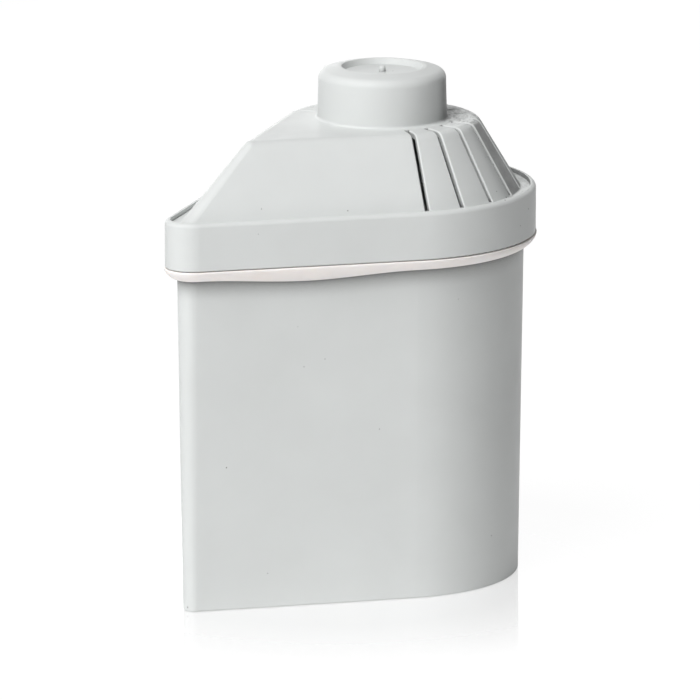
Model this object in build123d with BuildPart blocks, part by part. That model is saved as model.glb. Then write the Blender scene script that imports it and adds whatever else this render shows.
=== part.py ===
from build123d import *
from math import cos, hypot, radians, sin, tan
import os

# Gravity filter cartridge for a water pitcher: a teardrop cup with a slotted base, closed by a domed
# lid with a finger knob, with a soft ring under the lid's skirt and the filter bed between two felts.
# X runs along the teardrop with its nose toward -X, Z is up, and the cup stands on Z = 0.

# Plan of the lid's skirt: a big circle at the round end and a small one at the nose, joined by flats.
# Outlines further in keep the flats' angle, and their noses get sharper down to the mould's limit.
rim_half_angle = 29.4
rim_round_radius = 35.8
rim_nose_radius = 6.4
sharpest_nose_radius = 0.8

# Lid: skirt, lip, trough and dome
seam_height = 80.8
skirt_height = 11.2
skirt_thickness = 1.4
skirt_edge_round = 0.3
lip_height = 1.0
lip_thickness = 1.3
lip_inner_round = 0.15
lip_flat_width = 0.1
trough_width = 2.3
trough_floor_thickness = 1.4
dome_foot_nose_radius = 2.6
dome_foot_fillet = 0.5
dome_height = 16.5
dome_lean = 31.0
dome_wall = 1.5
plateau_half_angle = 30.6
plateau_round = 2.6
plateau_tip_margin = 0.2
plateau_thickness = 1.4

# Knob: the hollow finger grip on the round end's axis, with a dished top and the gate's nub in it.
# Its foot leaves a ledge of the plateau all round, and its top steps in from the foot.
knob_ledge = 7.2
knob_foot_fillet = 0.6
knob_draft = 1.6
knob_shoulder_width = 4.8
knob_crown_rise = 1.0
knob_corner_round = 2.1
knob_crest_height = 12.0
knob_crest_width = 0.8
knob_crest_round = 0.6
knob_recess_depth = 1.3
knob_recess_lean = 30.0
knob_wall = 1.4
gate_nub_radius = 0.8
gate_nub_height = 1.3
gate_nub_round = 0.55

# Inlet slots: upright cuts that fan out round the dome's blunt end, from the plateau to its foot,
# with a bevel where they open in the dome's skin
inlet_slot_count = 15
inlet_slot_angle = 16.4
inlet_slot_width = 1.0
inlet_slot_bevel = 0.27
inlet_slot_gap_to_knob = 2.1
inlet_slot_sill = 0.2
inlet_slot_overrun = 0.6

# Cup: drafted walls that stand as a foot rim below the slotted base panel
wall_inset = 2.75
wall_draft = 0.75
wall_thickness = 1.5
foot_round = 0.5
base_recess = 2.5
base_thickness = 1.6
outlet_slot_width = 1.0
outlet_slot_pitch = 4.0
outlet_nose_side_slot_count = 12
outlet_round_side_slot_count = 6
outlet_slot_margin = 4.5
outlet_rib_width = 3.0

# Plug: the collar under the lid that centres it in the cup
plug_depth = 4.0
plug_clearance = 0.12

# Soft ring: an edge flush with the skirt, an underside that slopes in to the wall and hangs lower
# along the flats, and a leg held in the gap between the wall and the skirt
seal_gap = 0.15
seal_proud = 0.15
seal_edge_height = 0.9
seal_height = 2.6
seal_sag = 1.1
seal_sag_margin = 2.0
seal_tip_width = 0.3
seal_leg_height = 5.0
seal_clearance = 0.05

# Filter bed and the two felts that hold it
felt_thickness = 1.5
felt_clearance = 0.1
bed_headspace = 7.0
bed_clearance = 0.1

half_angle = radians(rim_half_angle)
rim_nose_distance = (rim_round_radius - rim_nose_radius) / sin(half_angle)
round_end_x = (rim_nose_distance + rim_nose_radius - rim_round_radius) / 2
across_flat = Vector(-sin(half_angle), cos(half_angle), 0)
along_flat = Vector(cos(half_angle), sin(half_angle), 0)

lip_top = seam_height + skirt_height
trough_floor = lip_top - lip_height
wall_top = trough_floor - trough_floor_thickness
plateau = trough_floor + dome_height
plug_bottom = wall_top - plug_depth
base_top = base_recess + base_thickness
bed_bottom = base_top + felt_thickness
bed_top = plug_bottom - felt_thickness - bed_headspace
outlet_slot_count = outlet_nose_side_slot_count + outlet_round_side_slot_count + 1
outlet_slots_middle_x = (
    round_end_x + (outlet_round_side_slot_count - outlet_nose_side_slot_count) * outlet_slot_pitch / 2
)
seal_top = seam_height - seal_gap
seal_bottom = seal_top - seal_height

dome_foot_radius = rim_round_radius - lip_thickness - trough_width
plateau_radius = dome_foot_radius - dome_height * tan(radians(dome_lean))
plateau_nose_radius = plateau_round * tan(radians(90 - dome_lean) / 2) + plateau_tip_margin
lip_outer_round = lip_thickness - lip_inner_round - lip_flat_width

knob_foot_radius = plateau_radius - knob_ledge
knob_corner_height = knob_crest_height - knob_crown_rise
knob_corner_radius = knob_foot_radius - knob_corner_height * tan(radians(knob_draft))
knob_crest_radius = knob_foot_radius - knob_shoulder_width
recess_mouth_radius = knob_crest_radius - knob_crest_width
recess_floor = knob_crest_height - knob_recess_depth
recess_floor_radius = recess_mouth_radius - knob_recess_depth * tan(radians(knob_recess_lean))
inlet_slot_inner_radius = knob_foot_radius + inlet_slot_gap_to_knob
inlet_slot_outer_radius = dome_foot_radius + inlet_slot_overrun
inlet_slot_bottom = trough_floor + inlet_slot_sill
inlet_slot_fan = inlet_slot_angle * (inlet_slot_count - 1)


def teardrop(round_radius, nose_radius, flat_angle=half_angle):
    """Plan outline about the round end's centre, whose flats lie at an angle from the X axis."""
    nose_radius = max(nose_radius, sharpest_nose_radius)
    nose_x = round_end_x - (round_radius - nose_radius) / sin(flat_angle)
    outward = Vector(-sin(flat_angle), cos(flat_angle))
    round_point = Vector(round_end_x, 0) + outward * round_radius
    nose_point = Vector(nose_x, 0) + outward * nose_radius
    far_round_point = (round_point.X, -round_point.Y)
    far_nose_point = (nose_point.X, -nose_point.Y)
    with BuildSketch() as outline:
        with BuildLine():
            Line(nose_point, round_point)
            ThreePointArc(round_point, (round_end_x + round_radius, 0), far_round_point)
            Line(far_round_point, far_nose_point)
            ThreePointArc(far_nose_point, (nose_x - nose_radius, 0), nose_point)
        make_face()
    return outline.sketch


def rim_outline(inset):
    """The skirt's outline, moved inward by an inset."""
    return teardrop(rim_round_radius - inset, rim_nose_radius - inset)


def wall_inset_at(height):
    """How far the cup's drafted wall stands inside the skirt's outline at a height."""
    return wall_inset + (seam_height - height) * tan(radians(wall_draft))


def wall_outline(height, inset=0):
    """The cup's outer outline at a height, moved inward by an inset."""
    return rim_outline(wall_inset_at(height) + inset)


os.makedirs("parts", exist_ok=True)

# Cup, moulded in one piece: outside, inside, hollow under the base panel, and outlet slots
with BuildPart() as body_shell:
    with BuildSketch(Plane.XY):
        add(wall_outline(0))
    with BuildSketch(Plane.XY.offset(wall_top)):
        add(wall_outline(wall_top))
    loft()
    fillet(body_shell.edges().group_by(Axis.Z)[0], foot_round)
    with BuildSketch(Plane.XY.offset(base_top)):
        add(wall_outline(base_top, wall_thickness))
    with BuildSketch(Plane.XY.offset(wall_top)):
        add(wall_outline(wall_top, wall_thickness))
    loft(mode=Mode.SUBTRACT)
    with BuildSketch(Plane.XY):
        add(wall_outline(0, wall_thickness))
    with BuildSketch(Plane.XY.offset(base_recess)):
        add(wall_outline(base_recess, wall_thickness))
    loft(mode=Mode.SUBTRACT)
    with BuildSketch(Plane.XY.offset(base_recess)):
        with Locations((outlet_slots_middle_x, 0)):
            with GridLocations(outlet_slot_pitch, 0, outlet_slot_count, 1):
                Rectangle(outlet_slot_width, 2 * rim_round_radius)
        Rectangle(4 * rim_round_radius, outlet_rib_width, mode=Mode.SUBTRACT)
        add(wall_outline(base_recess, wall_thickness + outlet_slot_margin), mode=Mode.INTERSECT)
    extrude(amount=base_thickness, mode=Mode.SUBTRACT)
body_shell.part.label = "body_shell"
export_step(body_shell.part, "parts/body_shell.step")

# The knob is drawn as radius and height above the plateau, on an upright plane through its axis
knob_plane = Plane(origin=(round_end_x, 0, plateau), x_dir=(1, 0, 0), z_dir=(0, -1, 0))


def knob_section(bottom):
    """Half section of the knob's outside, standing on a line at a height from the plateau."""
    with BuildSketch() as section:
        with BuildLine():
            Polyline(
                (0, bottom),
                (knob_foot_radius, bottom),
                (knob_foot_radius, 0),
                (knob_corner_radius, knob_corner_height),
                (knob_crest_radius, knob_crest_height),
                (recess_mouth_radius, knob_crest_height),
                (recess_floor_radius, recess_floor),
                (0, recess_floor),
                close=True,
            )
        make_face()
        corners = section.vertices()
        fillet(corners.sort_by_distance((knob_corner_radius, knob_corner_height))[0], knob_corner_round)
        corners = section.vertices()
        fillet(corners.sort_by_distance((knob_crest_radius, knob_crest_height))[0], knob_crest_round)
    return section.sketch


# One inlet slot's cutter, as radius and height in an upright plane through the knob's axis. The bevel
# starts from a line that runs below the dome's skin and comes up to the skin as it widens.
slot_plane = Plane(origin=(0, 0, 0), x_dir=(1, 0, 0), z_dir=(0, -1, 0))
slot_top = plateau + inlet_slot_overrun
bevel_inset = inlet_slot_bevel / cos(radians(dome_lean))
bevel_top = plateau - inlet_slot_bevel
bevel_corner_radius = plateau_radius + inlet_slot_bevel * tan(radians(dome_lean)) - bevel_inset
bevel_foot_radius = dome_foot_radius - inlet_slot_sill * tan(radians(dome_lean)) - bevel_inset
with BuildSketch() as bevel_side:
    with BuildLine():
        Polyline(
            (inlet_slot_inner_radius, bevel_top),
            (bevel_corner_radius, bevel_top),
            (bevel_foot_radius, inlet_slot_bottom),
            (inlet_slot_outer_radius, inlet_slot_bottom),
            (inlet_slot_outer_radius, slot_top),
            (inlet_slot_inner_radius, slot_top),
            close=True,
        )
    make_face()
    corners = bevel_side.vertices()
    shoulder = corners.sort_by_distance((bevel_corner_radius, bevel_top))[0]
    fillet(shoulder, plateau_round - inlet_slot_bevel)
with BuildPart() as inlet_slot:
    with BuildSketch(slot_plane):
        with Locations((inlet_slot_inner_radius, inlet_slot_bottom)):
            Rectangle(
                inlet_slot_outer_radius - inlet_slot_inner_radius,
                slot_top - inlet_slot_bottom,
                align=(Align.MIN, Align.MIN),
            )
    extrude(amount=inlet_slot_width / 2, both=True)
    with BuildSketch(slot_plane.offset(inlet_slot_width / 2)):
        add(bevel_side.sketch)
    extrude(amount=inlet_slot_bevel, taper=45)
    mirror(about=Plane.XZ)

# Lid, moulded in one piece
dome_inner_radius = dome_foot_radius - dome_wall
dome_inner_nose_radius = dome_foot_nose_radius - dome_wall
ceiling = plateau - plateau_thickness
ceiling_radius = dome_inner_radius - (ceiling - trough_floor) * tan(radians(dome_lean))
top_angle = radians(plateau_half_angle)
with BuildPart() as lid:
    # Skirt and trough floor, with the dome rising from the floor
    with BuildSketch(Plane.XY.offset(seam_height)):
        add(rim_outline(0))
    extrude(amount=trough_floor - seam_height)
    with BuildSketch(Plane.XY.offset(trough_floor)):
        add(teardrop(dome_foot_radius, dome_foot_nose_radius))
    with BuildSketch(Plane.XY.offset(plateau)):
        add(teardrop(plateau_radius, plateau_nose_radius, top_angle))
    loft()
    fillet(lid.edges(Select.LAST).group_by(Axis.Z)[0], dome_foot_fillet)
    fillet(lid.edges().group_by(Axis.Z)[-1], plateau_round)
    # Lip round the trough
    with BuildSketch(Plane.XY.offset(trough_floor)):
        add(rim_outline(0))
        add(rim_outline(lip_thickness), mode=Mode.SUBTRACT)
    extrude(amount=lip_height)
    lip_face = lid.faces().filter_by_position(Axis.Z, lip_top, lip_top)[0]
    fillet(lip_face.outer_wire().edges(), lip_outer_round)
    lip_face = lid.faces().filter_by_position(Axis.Z, lip_top, lip_top)[0]
    fillet(lip_face.inner_wires()[0].edges(), lip_inner_round)
    # Knob
    with BuildSketch(knob_plane):
        add(knob_section(-plateau_thickness))
    revolve(axis=Axis(knob_plane.origin, (0, 0, 1)))
    plateau_edges = lid.edges().filter_by_position(Axis.Z, plateau, plateau)
    fillet(plateau_edges.filter_by(lambda edge: edge.is_closed), knob_foot_fillet)
    with Locations(knob_plane.origin + (0, 0, recess_floor)):
        Cylinder(gate_nub_radius, gate_nub_height, align=(Align.CENTER, Align.CENTER, Align.MIN))
    fillet(lid.edges(Select.LAST).group_by(Axis.Z)[-1], gate_nub_round)
    # Hollow dome and hollow knob
    with BuildSketch(Plane.XY.offset(trough_floor)):
        add(teardrop(dome_inner_radius, dome_inner_nose_radius))
    with BuildSketch(Plane.XY.offset(ceiling)):
        add(teardrop(ceiling_radius, sharpest_nose_radius, top_angle))
    loft(mode=Mode.SUBTRACT)
    with BuildSketch(knob_plane):
        add(knob_section(-plateau_thickness - knob_wall))
        mirror(about=Plane.YZ)
        offset(amount=-knob_wall)
        Rectangle(
            knob_foot_radius, 4 * knob_crest_height, align=(Align.MIN, Align.CENTER), mode=Mode.INTERSECT
        )
    revolve(axis=Axis(knob_plane.origin, (0, 0, 1)), mode=Mode.SUBTRACT)
    # Hollow skirt, with the plug left standing under the trough floor
    with BuildSketch(Plane.XY.offset(seam_height)):
        add(rim_outline(skirt_thickness))
    extrude(amount=wall_top - seam_height, mode=Mode.SUBTRACT)
    skirt_face = lid.faces().filter_by_position(Axis.Z, seam_height, seam_height)[0]
    fillet(skirt_face.outer_wire().edges(), skirt_edge_round)
    with BuildSketch(Plane.XY.offset(plug_bottom)):
        add(wall_outline(plug_bottom, wall_thickness + plug_clearance))
    extrude(amount=plug_depth)
    with BuildSketch(Plane.XY.offset(plug_bottom)):
        add(teardrop(dome_inner_radius, dome_inner_nose_radius))
    extrude(amount=trough_floor - plug_bottom, mode=Mode.SUBTRACT)
    # Inlet slots
    with Locations((round_end_x, 0, 0)):
        with PolarLocations(
            0,
            inlet_slot_count,
            start_angle=-inlet_slot_fan / 2,
            angular_range=inlet_slot_fan,
            endpoint=True,
        ):
            add(inlet_slot.part, mode=Mode.SUBTRACT)
lid.part.label = "lid"
export_step(lid.part, "parts/lid.step")

# Soft ring. Its underside rises from a narrow foot on the wall to the skirt's outline, and the belly
# on each flat is an arc that follows the same slope.
seal_foot_inset = wall_inset_at(seal_bottom) - seal_tip_width
underside_run = seal_foot_inset + seal_proud
underside_rise = seal_height - seal_edge_height
flat_length = rim_nose_distance * cos(half_angle)
belly_half_length = flat_length / 2 - seal_sag_margin
flat_middle = (
    Vector(round_end_x, 0, seal_bottom)
    + across_flat * (rim_round_radius - seal_foot_inset)
    - along_flat * (flat_length / 2)
)
flat_plane = Plane(origin=flat_middle, x_dir=-along_flat, z_dir=across_flat)
with BuildSketch() as belly:
    with BuildLine():
        ThreePointArc((-belly_half_length, 0), (0, -seal_sag), (belly_half_length, 0))
        Polyline(
            (belly_half_length, 0),
            (belly_half_length, seal_edge_height / 2),
            (-belly_half_length, seal_edge_height / 2),
            (-belly_half_length, 0),
        )
    make_face()
with BuildPart() as seal_ring:
    with BuildSketch(Plane.XY.offset(seal_top)):
        add(rim_outline(-seal_proud))
    extrude(amount=-seal_edge_height)
    with BuildSketch(Plane.XY.offset(seal_top - seal_edge_height)):
        add(rim_outline(-seal_proud))
    with BuildSketch(Plane.XY.offset(seal_bottom)):
        add(rim_outline(seal_foot_inset))
    loft()
    with BuildSketch(flat_plane):
        add(belly.sketch)
    extrude(
        amount=hypot(underside_run, underside_rise),
        dir=across_flat * underside_run + Vector(0, 0, underside_rise),
    )
    with BuildSketch(flat_plane):
        add(belly.sketch)
    extrude(amount=-wall_thickness)
    mirror(about=Plane.XZ)
    with BuildSketch(Plane.XY.offset(seal_top)):
        add(rim_outline(skirt_thickness + seal_clearance))
    extrude(amount=seal_leg_height)
    # Room for the cup's wall
    with BuildSketch(Plane.XY.offset(seal_bottom - 2 * seal_sag)):
        add(wall_outline(seal_bottom - 2 * seal_sag, -seal_clearance))
    with BuildSketch(Plane.XY.offset(seal_top + 2 * seal_leg_height)):
        add(wall_outline(seal_top + 2 * seal_leg_height, -seal_clearance))
    loft(mode=Mode.SUBTRACT)
seal_ring.part.label = "seal_ring"
export_step(seal_ring.part, "parts/seal_ring.step")

# Felt on the slotted base
with BuildPart() as outlet_fleece:
    with BuildSketch(Plane.XY.offset(base_top)):
        add(wall_outline(base_top, wall_thickness + felt_clearance))
    extrude(amount=felt_thickness)
outlet_fleece.part.label = "outlet_fleece"
export_step(outlet_fleece.part, "parts/outlet_fleece.step")

# Mixed bed of granules, which lies loose on the felt and leaves room above it to swell
with BuildPart() as media_bed:
    with BuildSketch(Plane.XY.offset(bed_bottom)):
        add(wall_outline(bed_bottom, wall_thickness + bed_clearance))
    with BuildSketch(Plane.XY.offset(bed_top)):
        add(wall_outline(bed_top, wall_thickness + bed_clearance))
    loft()
media_bed.part.label = "media_bed"
export_step(media_bed.part, "parts/media_bed.step")

# Felt that closes the plug's lower end
with BuildPart() as inlet_fleece:
    with BuildSketch(Plane.XY.offset(plug_bottom - felt_thickness)):
        add(wall_outline(plug_bottom - felt_thickness, wall_thickness + felt_clearance))
    extrude(amount=felt_thickness)
inlet_fleece.part.label = "inlet_fleece"
export_step(inlet_fleece.part, "parts/inlet_fleece.step")
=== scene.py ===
import math

import bpy
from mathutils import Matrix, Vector, noise


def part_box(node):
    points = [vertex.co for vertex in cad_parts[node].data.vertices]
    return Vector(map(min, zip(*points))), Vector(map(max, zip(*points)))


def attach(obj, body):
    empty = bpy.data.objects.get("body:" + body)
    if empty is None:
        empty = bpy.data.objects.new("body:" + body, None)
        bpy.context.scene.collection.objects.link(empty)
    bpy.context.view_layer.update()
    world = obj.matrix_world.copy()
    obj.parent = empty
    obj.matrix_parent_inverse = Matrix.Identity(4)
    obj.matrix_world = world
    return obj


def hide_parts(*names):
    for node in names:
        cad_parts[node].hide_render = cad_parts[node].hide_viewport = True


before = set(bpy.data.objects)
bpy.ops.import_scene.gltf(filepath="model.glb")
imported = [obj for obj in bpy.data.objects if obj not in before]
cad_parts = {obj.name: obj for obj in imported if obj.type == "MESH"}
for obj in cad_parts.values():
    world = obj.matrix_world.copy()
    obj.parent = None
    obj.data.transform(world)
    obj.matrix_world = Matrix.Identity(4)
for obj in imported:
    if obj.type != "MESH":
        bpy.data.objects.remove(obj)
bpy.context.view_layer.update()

# The cup: a teardrop beaker with drafted walls and a slotted base, injection moulded in one piece
# from pale grey polypropylene. Its satin skin has a fine spark-eroded grain, faint flow mottling,
# light handling scuffs and a few specks of carbon dust, and painted shade close under the soft
# ring.
shell_grey = (0.67, 0.687, 0.68, 1.0)
shell_grey_deep = (0.64, 0.656, 0.649, 1.0)
dust_level = 0.09
speck_cells = 700.0
smallest_speck = 0.05
largest_speck = 0.14
cup_speck_share = 0.018
cup_speck_shift = (4.0, 1.48, 2.44)
# Painted shade under the soft ring: the wall's colour is darkened where other faces stand close by
painted_shade_level = 0.1
painted_shade_reach = 0.0045
painted_shade_share = 0.75
painted_shade_from = 0.06
painted_shade_full = 0.07


def grey(level):
    """An opaque neutral colour of that level."""
    return (level, level, level, 1.0)


def new_material(name):
    """A material with one principled shader, its node tree and that shader."""
    material = bpy.data.materials.new(name)
    material.use_nodes = True
    tree = material.node_tree
    return material, tree, tree.nodes["Principled BSDF"]


def own_place(tree):
    """Where a point is in the object's own space, in metres."""
    return tree.nodes.new("ShaderNodeTexCoord").outputs["Object"]


def parts_of(tree, vector):
    """The parts of a vector, by their letters X, Y and Z."""
    parts = tree.nodes.new("ShaderNodeSeparateXYZ")
    tree.links.new(vector, parts.inputs["Vector"])
    return parts.outputs


def place_noise(tree, cells, detail, roughness, distortion=0.0, place=None):
    """Noise in cells per metre, over the object's own space if no other place is given."""
    if place is None:
        place = own_place(tree)
    grain = tree.nodes.new("ShaderNodeTexNoise")
    grain.inputs["Scale"].default_value = cells
    grain.inputs["Detail"].default_value = detail
    grain.inputs["Roughness"].default_value = roughness
    grain.inputs["Distortion"].default_value = distortion
    tree.links.new(place, grain.inputs["Vector"])
    return grain.outputs["Fac"]


def cell_pattern(tree, place, cells):
    """Chance values of the cell that a point is in, and the point's distance from its middle."""
    pattern = tree.nodes.new("ShaderNodeTexVoronoi")
    pattern.inputs["Scale"].default_value = cells
    tree.links.new(place, pattern.inputs["Vector"])
    chances = tree.nodes.new("ShaderNodeSeparateColor")
    tree.links.new(pattern.outputs["Color"], chances.inputs["Color"])
    return chances.outputs, pattern.outputs["Distance"]


def ramp_between(tree, factor, low, high, at_low, at_high):
    """A colour that goes over from one to another between two levels of a factor."""
    ramp = tree.nodes.new("ShaderNodeValToRGB")
    ramp.color_ramp.elements[0].position = low
    ramp.color_ramp.elements[1].position = high
    ramp.color_ramp.elements[0].color = at_low
    ramp.color_ramp.elements[1].color = at_high
    tree.links.new(factor, ramp.inputs["Fac"])
    return ramp.outputs["Color"]


def eased(tree, value, start, end, at_start, at_end, course="SMOOTHSTEP"):
    """A value that goes over from one level to another, gently at both ends or straight."""
    step = tree.nodes.new("ShaderNodeMapRange")
    step.interpolation_type = course
    step.inputs["From Min"].default_value = start
    step.inputs["From Max"].default_value = end
    step.inputs["To Min"].default_value = at_start
    step.inputs["To Max"].default_value = at_end
    tree.links.new(value, step.inputs["Value"])
    return step.outputs["Result"]


def calculate(tree, operation, first, second):
    """What an operation on two values gives."""
    step = tree.nodes.new("ShaderNodeMath")
    step.operation = operation
    tree.links.new(first, step.inputs[0])
    tree.links.new(second, step.inputs[1])
    return step.outputs["Value"]


def times(tree, product, *others):
    """The product of two or more values."""
    for other in others:
        product = calculate(tree, "MULTIPLY", product, other)
    return product


def over_base_colour(tree, shader, factor, colour):
    """Lays a colour over what the shader's base colour has been given, by a factor."""
    over = tree.nodes.new("ShaderNodeMix")
    over.data_type = "RGBA"
    over.inputs["B"].default_value = colour
    tree.links.new(factor, over.inputs["Factor"])
    tree.links.new(shader.inputs["Base Color"].links[0].from_socket, over.inputs["A"])
    tree.links.new(over.outputs["Result"], shader.inputs["Base Color"])


def embossed(tree, height, strength, depth, over=None, inverted=False):
    """The normal of a surface raised by a height, over another such normal if one is given."""
    bump = tree.nodes.new("ShaderNodeBump")
    bump.invert = inverted
    bump.inputs["Strength"].default_value = strength
    bump.inputs["Distance"].default_value = depth
    tree.links.new(height, bump.inputs["Height"])
    if over is not None:
        tree.links.new(over, bump.inputs["Normal"])
    return bump.outputs["Normal"]


def moulded_plastic(name, speck_shift):
    """Satin polypropylene with flow mottling, spark-eroded grain, scuffs and specks of carbon dust.

    With the material come its tree, its shader, and the input for the share of cells that hold a
    speck where specks gather most.
    """
    material, tree, shader = new_material(name)
    flow = place_noise(tree, cells=38.0, detail=3.0, roughness=0.55)
    mottled = ramp_between(
        tree, flow, low=0.35, high=0.68, at_low=shell_grey_deep, at_high=shell_grey
    )
    tree.links.new(mottled, shader.inputs["Base Color"])

    # Specks sit in a few of the cells of a pattern, each a small round dot, and gather in places
    shifted = tree.nodes.new("ShaderNodeMapping")
    shifted.inputs["Location"].default_value = speck_shift
    tree.links.new(own_place(tree), shifted.inputs["Vector"])
    chances, from_middle = cell_pattern(tree, shifted.outputs["Vector"], speck_cells)
    gathering = tree.nodes.new("ShaderNodeMapRange")
    gathering.inputs["From Min"].default_value = 0.42
    gathering.inputs["From Max"].default_value = 0.68
    patches = place_noise(tree, cells=60.0, detail=2.0, roughness=0.5)
    tree.links.new(patches, gathering.inputs["Value"])
    chosen = calculate(tree, "LESS_THAN", chances["Red"], gathering.outputs["Result"])
    speck_radius = eased(
        tree, chances["Green"], 0.0, 1.0, smallest_speck, largest_speck, "LINEAR"
    )
    inside = calculate(tree, "LESS_THAN", from_middle, speck_radius)
    over_base_colour(tree, shader, times(tree, chosen, inside), grey(dust_level))

    scuffs = place_noise(tree, cells=260.0, detail=4.0, roughness=0.6)
    satin = ramp_between(tree, scuffs, low=0.3, high=0.75, at_low=grey(0.42), at_high=grey(0.54))
    tree.links.new(satin, shader.inputs["Roughness"])
    shader.inputs["IOR"].default_value = 1.49
    shader.inputs["Specular IOR Level"].default_value = 0.2
    shader.inputs["Subsurface Weight"].default_value = 0.08
    shader.inputs["Subsurface Radius"].default_value = (0.0012, 0.0012, 0.0011)
    shader.inputs["Subsurface Scale"].default_value = 1.0

    spark_grain = place_noise(tree, cells=2600.0, detail=2.0, roughness=0.5)
    grained = embossed(tree, spark_grain, strength=0.12, depth=0.00004)
    sinks = place_noise(tree, cells=55.0, detail=2.0, roughness=0.5)
    uneven = embossed(tree, sinks, strength=0.25, depth=0.0003, over=grained)
    tree.links.new(uneven, shader.inputs["Normal"])
    return material, tree, shader, gathering.inputs["To Max"]


def tucked_away(tree, reach, closed, open_air, share):
    """How deeply painted shade darkens the colour where other faces stand close by, within a reach.
    """
    nearness = tree.nodes.new("ShaderNodeAmbientOcclusion")
    nearness.inputs["Distance"].default_value = reach
    nearness.samples = 8
    return eased(tree, nearness.outputs["AO"], closed, open_air, share, 0.0)


def dress(piece, material):
    """Gives a piece one material."""
    piece.data.materials.clear()
    piece.data.materials.append(material)


cup_plastic, cup_tree, cup_shader, cup_specks = moulded_plastic("cup_plastic", cup_speck_shift)
cup_specks.default_value = cup_speck_share
cup_height = parts_of(cup_tree, own_place(cup_tree))["Z"]
# Painted shade: the cup's colour is darkened where the ring and other faces stand close, above a
# height
in_corners = tucked_away(cup_tree, painted_shade_reach, closed=0.74, open_air=0.985, share=painted_shade_share)
under_ring = eased(cup_tree, cup_height, painted_shade_from, painted_shade_full, at_start=0.0, at_end=1.0)
cup_painted_shade = times(cup_tree, in_corners, under_ring)
over_base_colour(cup_tree, cup_shader, cup_painted_shade, grey(painted_shade_level))
dress(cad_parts["body_shell"], cup_plastic)

# The outlet felt: needled white polyester, die cut to the cup's floor and laid on the slotted base.
# It keeps the fine carbon in, and has taken a grey tint where the bed rests on it.
felt_voxel = 0.0007
felt_fuzz = 0.00014
felt_fuzz_waves = 900.0
felt_white = (0.8, 0.8, 0.78, 1.0)
felt_tint = (0.6, 0.6, 0.57, 1.0)


def even_skin(name, node, voxel):
    """A copy of a CAD node's solid in an even skin of small faces, to be worked over."""
    piece = bpy.data.objects.new(name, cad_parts[node].data.copy())
    bpy.context.scene.collection.objects.link(piece)
    skin = piece.modifiers.new("even_skin", "REMESH")
    skin.mode = "VOXEL"
    skin.voxel_size = voxel
    skinned = bpy.data.meshes.new_from_object(
        piece.evaluated_get(bpy.context.evaluated_depsgraph_get())
    )
    piece.modifiers.clear()
    piece.data = skinned
    piece.data.polygons.foreach_set("use_smooth", [True] * len(skinned.polygons))
    return piece


def sink_skin(piece, depth_at):
    """Sinks every point of a piece's skin by the depth that its place gives."""
    normals = [vertex.normal.copy() for vertex in piece.data.vertices]
    for vertex, outward in zip(piece.data.vertices, normals):
        vertex.co -= outward * depth_at(vertex.co)
    piece.data.update()


def felt_depth(place):
    """How far a felt's skin is sunk at a place: its face is fuzzy, and its cut edge ragged."""
    return felt_fuzz * (1 + noise.noise(place * felt_fuzz_waves)) / 2


def felt_material(name):
    """Matted polyester fibre: pale, rough, with long fibre marks and a patchy grey tint."""
    material, tree, shader = new_material(name)
    patches = place_noise(tree, cells=90.0, detail=4.0, roughness=0.6)
    tinted = ramp_between(tree, patches, low=0.38, high=0.66, at_low=felt_tint, at_high=felt_white)
    tree.links.new(tinted, shader.inputs["Base Color"])
    fibres = place_noise(tree, cells=1500.0, detail=6.0, roughness=0.7, distortion=1.6)
    matted = ramp_between(tree, fibres, low=0.3, high=0.7, at_low=grey(0.82), at_high=grey(0.98))
    tree.links.new(matted, shader.inputs["Roughness"])
    fibrous = embossed(tree, fibres, strength=0.6, depth=0.00015)
    tree.links.new(fibrous, shader.inputs["Normal"])
    shader.inputs["Sheen Weight"].default_value = 0.25
    return material


polyester_felt = felt_material("polyester_felt")
outlet_felt = even_skin("outlet_felt", "outlet_fleece", felt_voxel)
sink_skin(outlet_felt, felt_depth)
dress(outlet_felt, polyester_felt)
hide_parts("outlet_fleece")
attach(outlet_felt, "root")

# The bed: moist black carbon granules mixed with amber beads of exchange resin, poured loose on the
# outlet felt. Room is left above it, because the resin swells.
bed_voxel = 0.0012
granule_cells = 750.0
granule_relief = 0.0009
carbon_black = (0.018, 0.018, 0.02, 1.0)
carbon_roughness = 0.75
resin_amber = (0.55, 0.27, 0.07, 1.0)
resin_roughness = 0.2
resin_share = 0.42
resin_share_end = 0.44


def granule_depth(place):
    """How far the bed's skin is sunk at a place: least at the middle of a granule."""
    nearest_distances = noise.voronoi(place * granule_cells)[0]
    return granule_relief * min(nearest_distances[0], 1.0)


granule_bed = even_skin("granule_bed", "media_bed", bed_voxel)
sink_skin(granule_bed, granule_depth)

granules, bed_tree, bed_shader = new_material("carbon_and_resin")
granule_chances, from_granule = cell_pattern(bed_tree, own_place(bed_tree), granule_cells)
granule_colour = ramp_between(
    bed_tree, granule_chances["Red"], resin_share, resin_share_end, resin_amber, carbon_black
)
granule_gloss = ramp_between(
    bed_tree,
    granule_chances["Red"],
    resin_share,
    resin_share_end,
    grey(resin_roughness),
    grey(carbon_roughness),
)
granular = embossed(bed_tree, from_granule, strength=0.9, depth=0.0006, inverted=True)
bed_tree.links.new(granule_colour, bed_shader.inputs["Base Color"])
bed_tree.links.new(granule_gloss, bed_shader.inputs["Roughness"])
bed_tree.links.new(granular, bed_shader.inputs["Normal"])
dress(granule_bed, granules)
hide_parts("media_bed")
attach(granule_bed, "root")

# The inlet felt: the same needled polyester, welded under the lid's plug, where it keeps the
# granules from coming back out through the slots.
inlet_felt = even_skin("inlet_felt", "inlet_fleece", felt_voxel)
sink_skin(inlet_felt, felt_depth)
dress(inlet_felt, polyester_felt)
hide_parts("inlet_fleece")
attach(inlet_felt, "root")

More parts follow.
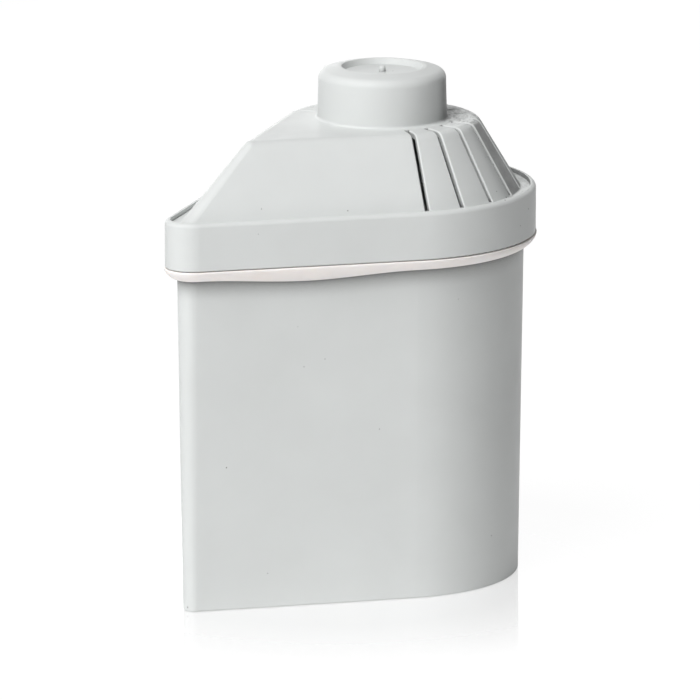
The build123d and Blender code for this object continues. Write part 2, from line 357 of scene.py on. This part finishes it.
# The lid: dome, knob, trough, lip and skirt in one moulding of the same polypropylene. Round the
# blunt end a grey colour is laid on. On steep faces, mostly those that look away from the light,
# it is painted shade with some dust in it; on level ones it lies in streaks of carbon dust washed
# out through the slots. Dust lies there as specks too, and the slots carry painted shade.
dust_and_shade_level = 0.1
dust_and_shade_share = 0.74
lid_speck_shift = (9.0, 3.33, 5.49)
speck_share_at_nose = 0.03
speck_share_at_slots = 0.5
# Painted shade in the slots: their colour is darkened where other faces stand close by
slot_painted_shade_reach = 0.0015
slot_painted_shade_share = 0.85

# Headings from the knob's axis: 1 at the blunt end's middle, -1 at the nose
dust_and_shade_starts = 0.15
dust_and_shade_is_full = 0.5
specks_grow_from = -0.4
specks_grow_to = 0.5

# Headings from the knob's axis: 1 square across to one side, -1 to the other
dust_and_shade_clears_from = -0.35
dust_and_shade_clear_at = 0.25
dust_and_shade_share_beyond = 0.35

# Distances from the knob's axis, through the trough and the lip to the skirt
dust_and_shade_thins_from = 0.024
dust_and_shade_thin_at = 0.032
dust_and_shade_share_in_trough = 0.55
dust_and_shade_on_lip_from = 0.0332
dust_and_shade_on_lip_full = 0.0338
dust_and_shade_inside_lip = 0.0349
dust_and_shade_off_skirt = 0.0353

# Heights on the knob
dust_and_shade_below_crown = 0.1165
dust_and_shade_off_crown = 0.118

# How nearly a face looks up: below the first it is steep, and above the second level
steep_below = 0.65
level_above = 0.9

# Cells of the streaks: to the metre across the rim, and to a heading of 1 along it
streaks_across = 1400.0
streaks_along = 7.0


def length_of(tree, vector):
    """How long a vector is."""
    measure = tree.nodes.new("ShaderNodeVectorMath")
    measure.operation = "LENGTH"
    tree.links.new(vector, measure.inputs[0])
    return measure.outputs["Value"]


def direction_of(tree, vector):
    """A vector of length 1 that points the same way."""
    unit = tree.nodes.new("ShaderNodeVectorMath")
    unit.operation = "NORMALIZE"
    tree.links.new(vector, unit.inputs[0])
    return unit.outputs["Vector"]


def joined(tree, *parts):
    """A vector with these as its X, Y and Z, as far as they go."""
    vector = tree.nodes.new("ShaderNodeCombineXYZ")
    for part, socket in zip(parts, vector.inputs):
        tree.links.new(part, socket)
    return vector.outputs["Vector"]


lid_plastic, lid_tree, lid_shader, lid_specks = moulded_plastic("lid_plastic", lid_speck_shift)
lid_low, lid_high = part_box("lid")
rim_round_radius = (lid_high.y - lid_low.y) / 2
knob_axis_x = lid_high.x - rim_round_radius

# Where on the lid: the height, and how far and which way from the knob's axis
lid_height = parts_of(lid_tree, own_place(lid_tree))["Z"]
from_axis = lid_tree.nodes.new("ShaderNodeMapping")
from_axis.inputs["Location"].default_value = (-knob_axis_x, 0.0, 0.0)
from_axis.inputs["Scale"].default_value = (1.0, 1.0, 0.0)
lid_tree.links.new(own_place(lid_tree), from_axis.inputs["Vector"])
axis_distance = length_of(lid_tree, from_axis.outputs["Vector"])
axis_heading = parts_of(lid_tree, direction_of(lid_tree, from_axis.outputs["Vector"]))
toward_blunt_end = axis_heading["X"]
toward_side = axis_heading["Y"]

# Which way a face looks: how nearly up, and how nearly toward the blunt end in plan
own_normal = lid_tree.nodes.new("ShaderNodeTexCoord").outputs["Normal"]
face = parts_of(lid_tree, own_normal)
face_in_plan = direction_of(lid_tree, joined(lid_tree, face["X"], face["Y"]))
face_to_blunt_end = parts_of(lid_tree, face_in_plan)["X"]

# On steep faces painted shade lies where they look to the blunt end, away from the light, and on
# the lip wherever they look
dust_and_shade_grain = place_noise(lid_tree, cells=420.0, detail=5.0, roughness=0.7)
on_blunt_end = eased(lid_tree, face_to_blunt_end, dust_and_shade_starts, dust_and_shade_is_full, 0.0, 1.0)
on_lip = eased(lid_tree, axis_distance, dust_and_shade_on_lip_from, dust_and_shade_on_lip_full, 0.0, 1.0)
shade_and_dust_on_steep = times(
    lid_tree,
    calculate(lid_tree, "MAXIMUM", on_blunt_end, on_lip),
    eased(lid_tree, dust_and_shade_grain, start=0.25, end=0.7, at_start=0.8, at_end=1.0),
)

# On level faces carbon dust lies in streaks round the rim, fine across the rim and long along it
streak_fineness = lid_tree.nodes.new("ShaderNodeMapping")
streak_fineness.inputs["Scale"].default_value = (streaks_across, streaks_along, streaks_along)
lid_tree.links.new(
    joined(lid_tree, axis_distance, toward_blunt_end, toward_side),
    streak_fineness.inputs["Vector"],
)
streaks = place_noise(
    lid_tree, cells=1.0, detail=4.0, roughness=0.65, place=streak_fineness.outputs["Vector"]
)
dust_streaks_on_level = times(
    lid_tree,
    eased(lid_tree, streaks, start=0.4, end=0.66, at_start=0.0, at_end=0.8),
    eased(lid_tree, axis_distance, dust_and_shade_thins_from, dust_and_shade_thin_at, 1.0, dust_and_shade_share_in_trough),
)
dust_and_shade_by_slope = lid_tree.nodes.new("ShaderNodeMix")
lid_tree.links.new(
    eased(lid_tree, face["Z"], steep_below, level_above, 0.0, 1.0), dust_and_shade_by_slope.inputs["Factor"]
)
lid_tree.links.new(shade_and_dust_on_steep, dust_and_shade_by_slope.inputs["A"])
lid_tree.links.new(dust_streaks_on_level, dust_and_shade_by_slope.inputs["B"])
# Painted shade on steep faces and dust streaks on level ones, together darkening the blunt end
dust_and_shade = times(
    lid_tree,
    eased(lid_tree, toward_blunt_end, dust_and_shade_starts, dust_and_shade_is_full, 0.0, dust_and_shade_share),
    eased(lid_tree, toward_side, dust_and_shade_clears_from, dust_and_shade_clear_at, 1.0, dust_and_shade_share_beyond),
    eased(lid_tree, axis_distance, dust_and_shade_inside_lip, dust_and_shade_off_skirt, 1.0, 0.0),
    eased(lid_tree, lid_height, dust_and_shade_below_crown, dust_and_shade_off_crown, 1.0, 0.0),
    dust_and_shade_by_slope.outputs["Result"],
)
over_base_colour(lid_tree, lid_shader, dust_and_shade, grey(dust_and_shade_level))

# Painted shade in the slots and other tight hollows of the lid, where faces stand close by
slot_painted_shade = tucked_away(
    lid_tree, slot_painted_shade_reach, closed=0.35, open_air=0.68, share=slot_painted_shade_share
)
over_base_colour(lid_tree, lid_shader, slot_painted_shade, grey(painted_shade_level))
speck_share = eased(
    lid_tree,
    toward_blunt_end,
    specks_grow_from,
    specks_grow_to,
    speck_share_at_nose,
    speck_share_at_slots,
)
lid_tree.links.new(speck_share, lid_specks)
dress(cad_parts["lid"], lid_plastic)

# The soft ring: cream thermoplastic elastomer, moulded on its own and stretched over the cup before
# the lid goes on. Its leg is held between wall and skirt, a bead shows under the skirt, and below
# it the ring curves in to a thin lip on the wall, which sags along the flats, where it is slack.
flat_angle = math.radians(29.4)
skirt_thickness = 0.0014
wall_inset_at_seam = 0.00275
wall_draft = math.radians(0.75)
ring_gap = 0.00015
ring_proud = 0.0002
ring_clearance = 0.00005
ring_height = 0.0026
ring_bead_round = 0.00015
ring_lip_width = 0.0003
ring_lip_round = 0.00012
ring_lip_hang = 0.4 * ring_lip_round
ring_sag = 0.0011
ring_leg_height = 0.005
ring_leg_chamfer = 0.0002
ring_curve = 1.6
ring_bead_steps = 4
ring_curve_steps = 14
round_end_steps = 96
nose_steps = 36
flat_steps = 48
seal_cream = (0.97, 0.91, 0.885, 1.0)
seal_cream_deep = (0.94, 0.88, 0.85, 1.0)

seam = lid_low.z
rim_length = lid_high.x - lid_low.x
round_end = Vector((knob_axis_x, 0.0, 0.0))
flat_outward = math.pi / 2 + flat_angle

# Both flats touch both arcs, so the arcs' centres lie apart by the difference of radii times slant
slant = 1 / math.sin(flat_angle)
rim_nose_radius = (rim_round_radius * (1 + slant) - rim_length) / (slant - 1)
nose_end = round_end - Vector(((rim_round_radius - rim_nose_radius) * slant, 0.0, 0.0))


def arc_stations(centre, radius, start, sweep, steps):
    """Places along one end of the rim, where the ring is stretched and doesn't sag."""
    for step in range(steps):
        yield centre, radius, start + sweep * step / steps, 0.0


def flat_stations(start, start_radius, end, end_radius, angle):
    """Places along a flat of the rim, where the ring sags most in the middle."""
    for step in range(flat_steps):
        share = step / flat_steps
        radius = start_radius + (end_radius - start_radius) * share
        yield start.lerp(end, share), radius, angle, (1 - math.cos(2 * math.pi * share)) / 2


def rim_stations():
    """Places round the rim: an arc's centre and radius, the outward angle, the share of the sag."""
    round_sweep = 2 * flat_outward
    nose_sweep = 2 * (math.pi - flat_outward)
    yield from arc_stations(
        round_end, rim_round_radius, -flat_outward, round_sweep, round_end_steps
    )
    yield from flat_stations(round_end, rim_round_radius, nose_end, rim_nose_radius, flat_outward)
    yield from arc_stations(nose_end, rim_nose_radius, flat_outward, nose_sweep, nose_steps)
    yield from flat_stations(nose_end, rim_nose_radius, round_end, rim_round_radius, -flat_outward)


def wall_inset(height):
    """How far the cup's wall stands inside the rim at a height."""
    return wall_inset_at_seam + (seam - height) * math.tan(wall_draft)


def ring_section(sag_share):
    """The ring's section as (inset from the rim, height), from the leg's top round to the wall."""
    ring_top = seam - ring_gap
    leg_top = ring_top + ring_leg_height
    leg_edge = leg_top - ring_leg_chamfer
    leg_outer = skirt_thickness + ring_clearance
    leg_inner = wall_inset(leg_top) - ring_clearance
    foot = ring_top - ring_height - ring_sag * sag_share
    foot_inner = wall_inset(foot) - ring_clearance
    section = [
        (leg_outer + ring_leg_chamfer, leg_top),
        (leg_outer, leg_edge),
        (leg_outer, ring_top),
    ]

    for step in range(ring_bead_steps):
        angle = math.pi / 2 * step / ring_bead_steps
        inset = -ring_proud + ring_bead_round * (1 - math.sin(angle))
        section.append((inset, ring_top - ring_bead_round * (1 - math.cos(angle))))

    curve_top = ring_top - ring_bead_round
    run = wall_inset(foot) - ring_lip_width + ring_proud
    drop = curve_top - foot
    for step in range(ring_curve_steps + 1):
        angle = math.pi / 2 * step / ring_curve_steps
        inward = 1 - math.cos(angle) ** (2 / ring_curve)
        downward = math.sin(angle) ** (2 / ring_curve)
        section.append((-ring_proud + run * inward, curve_top - drop * downward))

    section.append((foot_inner - ring_lip_round, foot - ring_lip_hang))
    section.append((foot_inner, foot + ring_lip_round))
    section.append((leg_inner, leg_edge))
    section.append((leg_inner - ring_leg_chamfer, leg_top))
    return section


ring_points = []
ring_faces = []
stations = list(rim_stations())
across = len(ring_section(0.0))
for index, (centre, radius, angle, sag_share) in enumerate(stations):
    outward = Vector((math.cos(angle), math.sin(angle), 0.0))
    following = (index + 1) % len(stations)
    for place, (inset, height) in enumerate(ring_section(sag_share)):
        ring_points.append(centre + outward * (radius - inset) + Vector((0.0, 0.0, height)))
        beside = (place + 1) % across
        ring_faces.append(
            (
                index * across + place,
                index * across + beside,
                following * across + beside,
                following * across + place,
            )
        )
ring_mesh = bpy.data.meshes.new("soft_ring")
ring_mesh.from_pydata(ring_points, [], ring_faces)
ring_mesh.polygons.foreach_set("use_smooth", [True] * len(ring_faces))
soft_ring = bpy.data.objects.new("soft_ring", ring_mesh)
bpy.context.scene.collection.objects.link(soft_ring)

elastomer, seal_tree, seal_shader = new_material("cream_elastomer")
seal_patches = place_noise(seal_tree, cells=120.0, detail=4.0, roughness=0.6)
seal_tone = ramp_between(
    seal_tree, seal_patches, low=0.35, high=0.65, at_low=seal_cream_deep, at_high=seal_cream
)
seal_bloom = place_noise(seal_tree, cells=700.0, detail=4.0, roughness=0.6)
seal_satin = ramp_between(
    seal_tree, seal_bloom, low=0.3, high=0.7, at_low=grey(0.45), at_high=grey(0.62)
)
seal_grained = embossed(seal_tree, seal_bloom, strength=0.2, depth=0.00006)
seal_tree.links.new(seal_tone, seal_shader.inputs["Base Color"])
seal_tree.links.new(seal_satin, seal_shader.inputs["Roughness"])
seal_tree.links.new(seal_grained, seal_shader.inputs["Normal"])
seal_shader.inputs["Specular IOR Level"].default_value = 0.25
seal_shader.inputs["Subsurface Weight"].default_value = 0.3
seal_shader.inputs["Subsurface Radius"].default_value = (0.0014, 0.0012, 0.001)
seal_shader.inputs["Subsurface Scale"].default_value = 1.0
dress(soft_ring, elastomer)
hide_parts("seal_ring")
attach(soft_ring, "root")

# The table: a pale glossy sweep, seen as plain white round the part. It keeps the part's shadow,
# and mirrors its foot faintly close by, as polished acrylic does.
backdrop_white = grey(1.0)
floor_level = 0.92
floor_glow = 0.96
floor_shadow_level = 0.08
floor_roughness = 0.5
floor_half = 0.6
mirror_share = 0.34
mirror_roughness = 0.03
mirror_full_radius = 0.045
mirror_end_radius = 0.085

floor_mesh = bpy.data.meshes.new("floor")
floor_mesh.from_pydata(
    [
        (-floor_half, -floor_half, 0.0),
        (floor_half, -floor_half, 0.0),
        (floor_half, floor_half, 0.0),
        (-floor_half, floor_half, 0.0),
    ],
    [],
    [(0, 1, 2, 3)],
)
floor = bpy.data.objects.new("floor", floor_mesh)
bpy.context.scene.collection.objects.link(floor)


def ray_that_sees_white(tree):
    """One where the ray comes from the camera, a gloss or a clear piece, and nought elsewhere."""
    ray = tree.nodes.new("ShaderNodeLightPath").outputs
    seen_or_gloss = calculate(tree, "MAXIMUM", ray["Is Camera Ray"], ray["Is Glossy Ray"])
    return calculate(tree, "MAXIMUM", seen_or_gloss, ray["Is Transmission Ray"])


def mixed(tree, factor, first, second):
    """Two shaders mixed, all of the first at 0 and all of the second at 1."""
    mix = tree.nodes.new("ShaderNodeMixShader")
    tree.links.new(factor, mix.inputs["Fac"])
    tree.links.new(first, mix.inputs[1])
    tree.links.new(second, mix.inputs[2])
    return mix.outputs["Shader"]


floor_material, floor_tree, floor_shader = new_material("floor_pale")
floor_shader.inputs["Base Color"].default_value = grey(floor_level)
floor_shader.inputs["Roughness"].default_value = floor_roughness
glow = floor_tree.nodes.new("ShaderNodeEmission")
glow.inputs["Color"].default_value = backdrop_white
glow.inputs["Strength"].default_value = floor_glow
shadowed = floor_tree.nodes.new("ShaderNodeBsdfDiffuse")
shadowed.inputs["Color"].default_value = grey(floor_shadow_level)
pale = floor_tree.nodes.new("ShaderNodeAddShader")
floor_tree.links.new(glow.outputs["Emission"], pale.inputs[0])
floor_tree.links.new(shadowed.outputs["BSDF"], pale.inputs[1])
mirror = floor_tree.nodes.new("ShaderNodeBsdfGlossy")
mirror.inputs["Color"].default_value = backdrop_white
mirror.inputs["Roughness"].default_value = mirror_roughness
from_middle = length_of(floor_tree, own_place(floor_tree))
near = eased(
    floor_tree, from_middle, mirror_full_radius, mirror_end_radius, mirror_share, 0.0, "LINEAR"
)
mirrored = mixed(floor_tree, near, pale.outputs["Shader"], mirror.outputs["BSDF"])
floor_look = mixed(
    floor_tree, ray_that_sees_white(floor_tree), floor_shader.outputs["BSDF"], mirrored
)
floor_tree.links.new(floor_look, floor_tree.nodes["Material Output"].inputs["Surface"])
dress(floor, floor_material)

# The studio: dim surroundings, which the camera and any gloss see as plain white, and five soft
# boxes. Most of the light comes from high on the left, so that the blunt end falls into shade.
surround_level = 0.06
lamp_distance = 3.0
lamp_side = 1.5
lamp_aim = Vector((0.011, 0.0, 0.06))

world = bpy.data.worlds.new("studio")
bpy.context.scene.world = world
world.use_nodes = True
world_tree = world.node_tree
world_tree.nodes.clear()
surround = world_tree.nodes.new("ShaderNodeBackground")
surround.inputs["Color"].default_value = backdrop_white
surround.inputs["Strength"].default_value = surround_level
seen = world_tree.nodes.new("ShaderNodeBackground")
seen.inputs["Color"].default_value = backdrop_white
world_look = mixed(
    world_tree,
    ray_that_sees_white(world_tree),
    surround.outputs["Background"],
    seen.outputs["Background"],
)
world_out = world_tree.nodes.new("ShaderNodeOutputWorld")
world_tree.links.new(world_look, world_out.inputs["Surface"])


def soft_box(name, azimuth, elevation, watts):
    """A square lamp that faces the part, at degrees round from +X and above the level."""
    round_from_x, above = math.radians(azimuth), math.radians(elevation)
    direction = Vector(
        (
            math.cos(above) * math.cos(round_from_x),
            math.cos(above) * math.sin(round_from_x),
            math.sin(above),
        )
    )
    lamp = bpy.data.lights.new(name, "AREA")
    lamp.shape = "SQUARE"
    lamp.size = lamp_side
    lamp.energy = watts
    holder = bpy.data.objects.new(name, lamp)
    bpy.context.scene.collection.objects.link(holder)
    holder.location = lamp_aim + direction * lamp_distance
    holder.rotation_euler = (lamp_aim - holder.location).to_track_quat("-Z", "Y").to_euler()


soft_box("left_level", azimuth=195, elevation=5, watts=18.0)
soft_box("left_raised", azimuth=180, elevation=20, watts=9.5)
soft_box("front_raised", azimuth=215, elevation=50, watts=16.0)
soft_box("overhead", azimuth=190, elevation=55, watts=70.5)
soft_box("back_fill", azimuth=60, elevation=8, watts=14.0)

# The camera stands where the photograph was taken from, far off with a long lens. It is placed so
# that aim_on_object, a point inside the cartridge, comes to aim_in_frame.
camera_azimuth = math.radians(-43.67)
camera_elevation = math.radians(12.83)
camera_distance = 2.0
pixels_per_metre = 4289.0
aim_on_object = Vector((0.01125, 0.0, 0.059))
aim_in_frame = (369.65, 322.81)
frame_side = 700
sensor_width = 36.0
right = Vector((math.cos(camera_azimuth), math.sin(camera_azimuth), 0.0))
back = Vector(
    (
        math.sin(camera_azimuth) * math.cos(camera_elevation),
        -math.cos(camera_azimuth) * math.cos(camera_elevation),
        math.sin(camera_elevation),
    )
)
up = back.cross(right)
frame_middle = (
    aim_on_object
    + right * (frame_side / 2 - aim_in_frame[0]) / pixels_per_metre
    + up * (aim_in_frame[1] - frame_side / 2) / pixels_per_metre
)
lens = bpy.data.cameras.new("camera")
camera = bpy.data.objects.new("camera", lens)
bpy.context.scene.collection.objects.link(camera)
bpy.context.scene.camera = camera
lens.sensor_width = sensor_width
lens.lens = sensor_width * camera_distance * pixels_per_metre / frame_side
lens.clip_start = 0.1
lens.clip_end = 20.0
camera.location = frame_middle + back * camera_distance
camera.rotation_euler = (-back).to_track_quat("-Z", "Y").to_euler()

bpy.context.scene.view_settings.view_transform = "Standard"
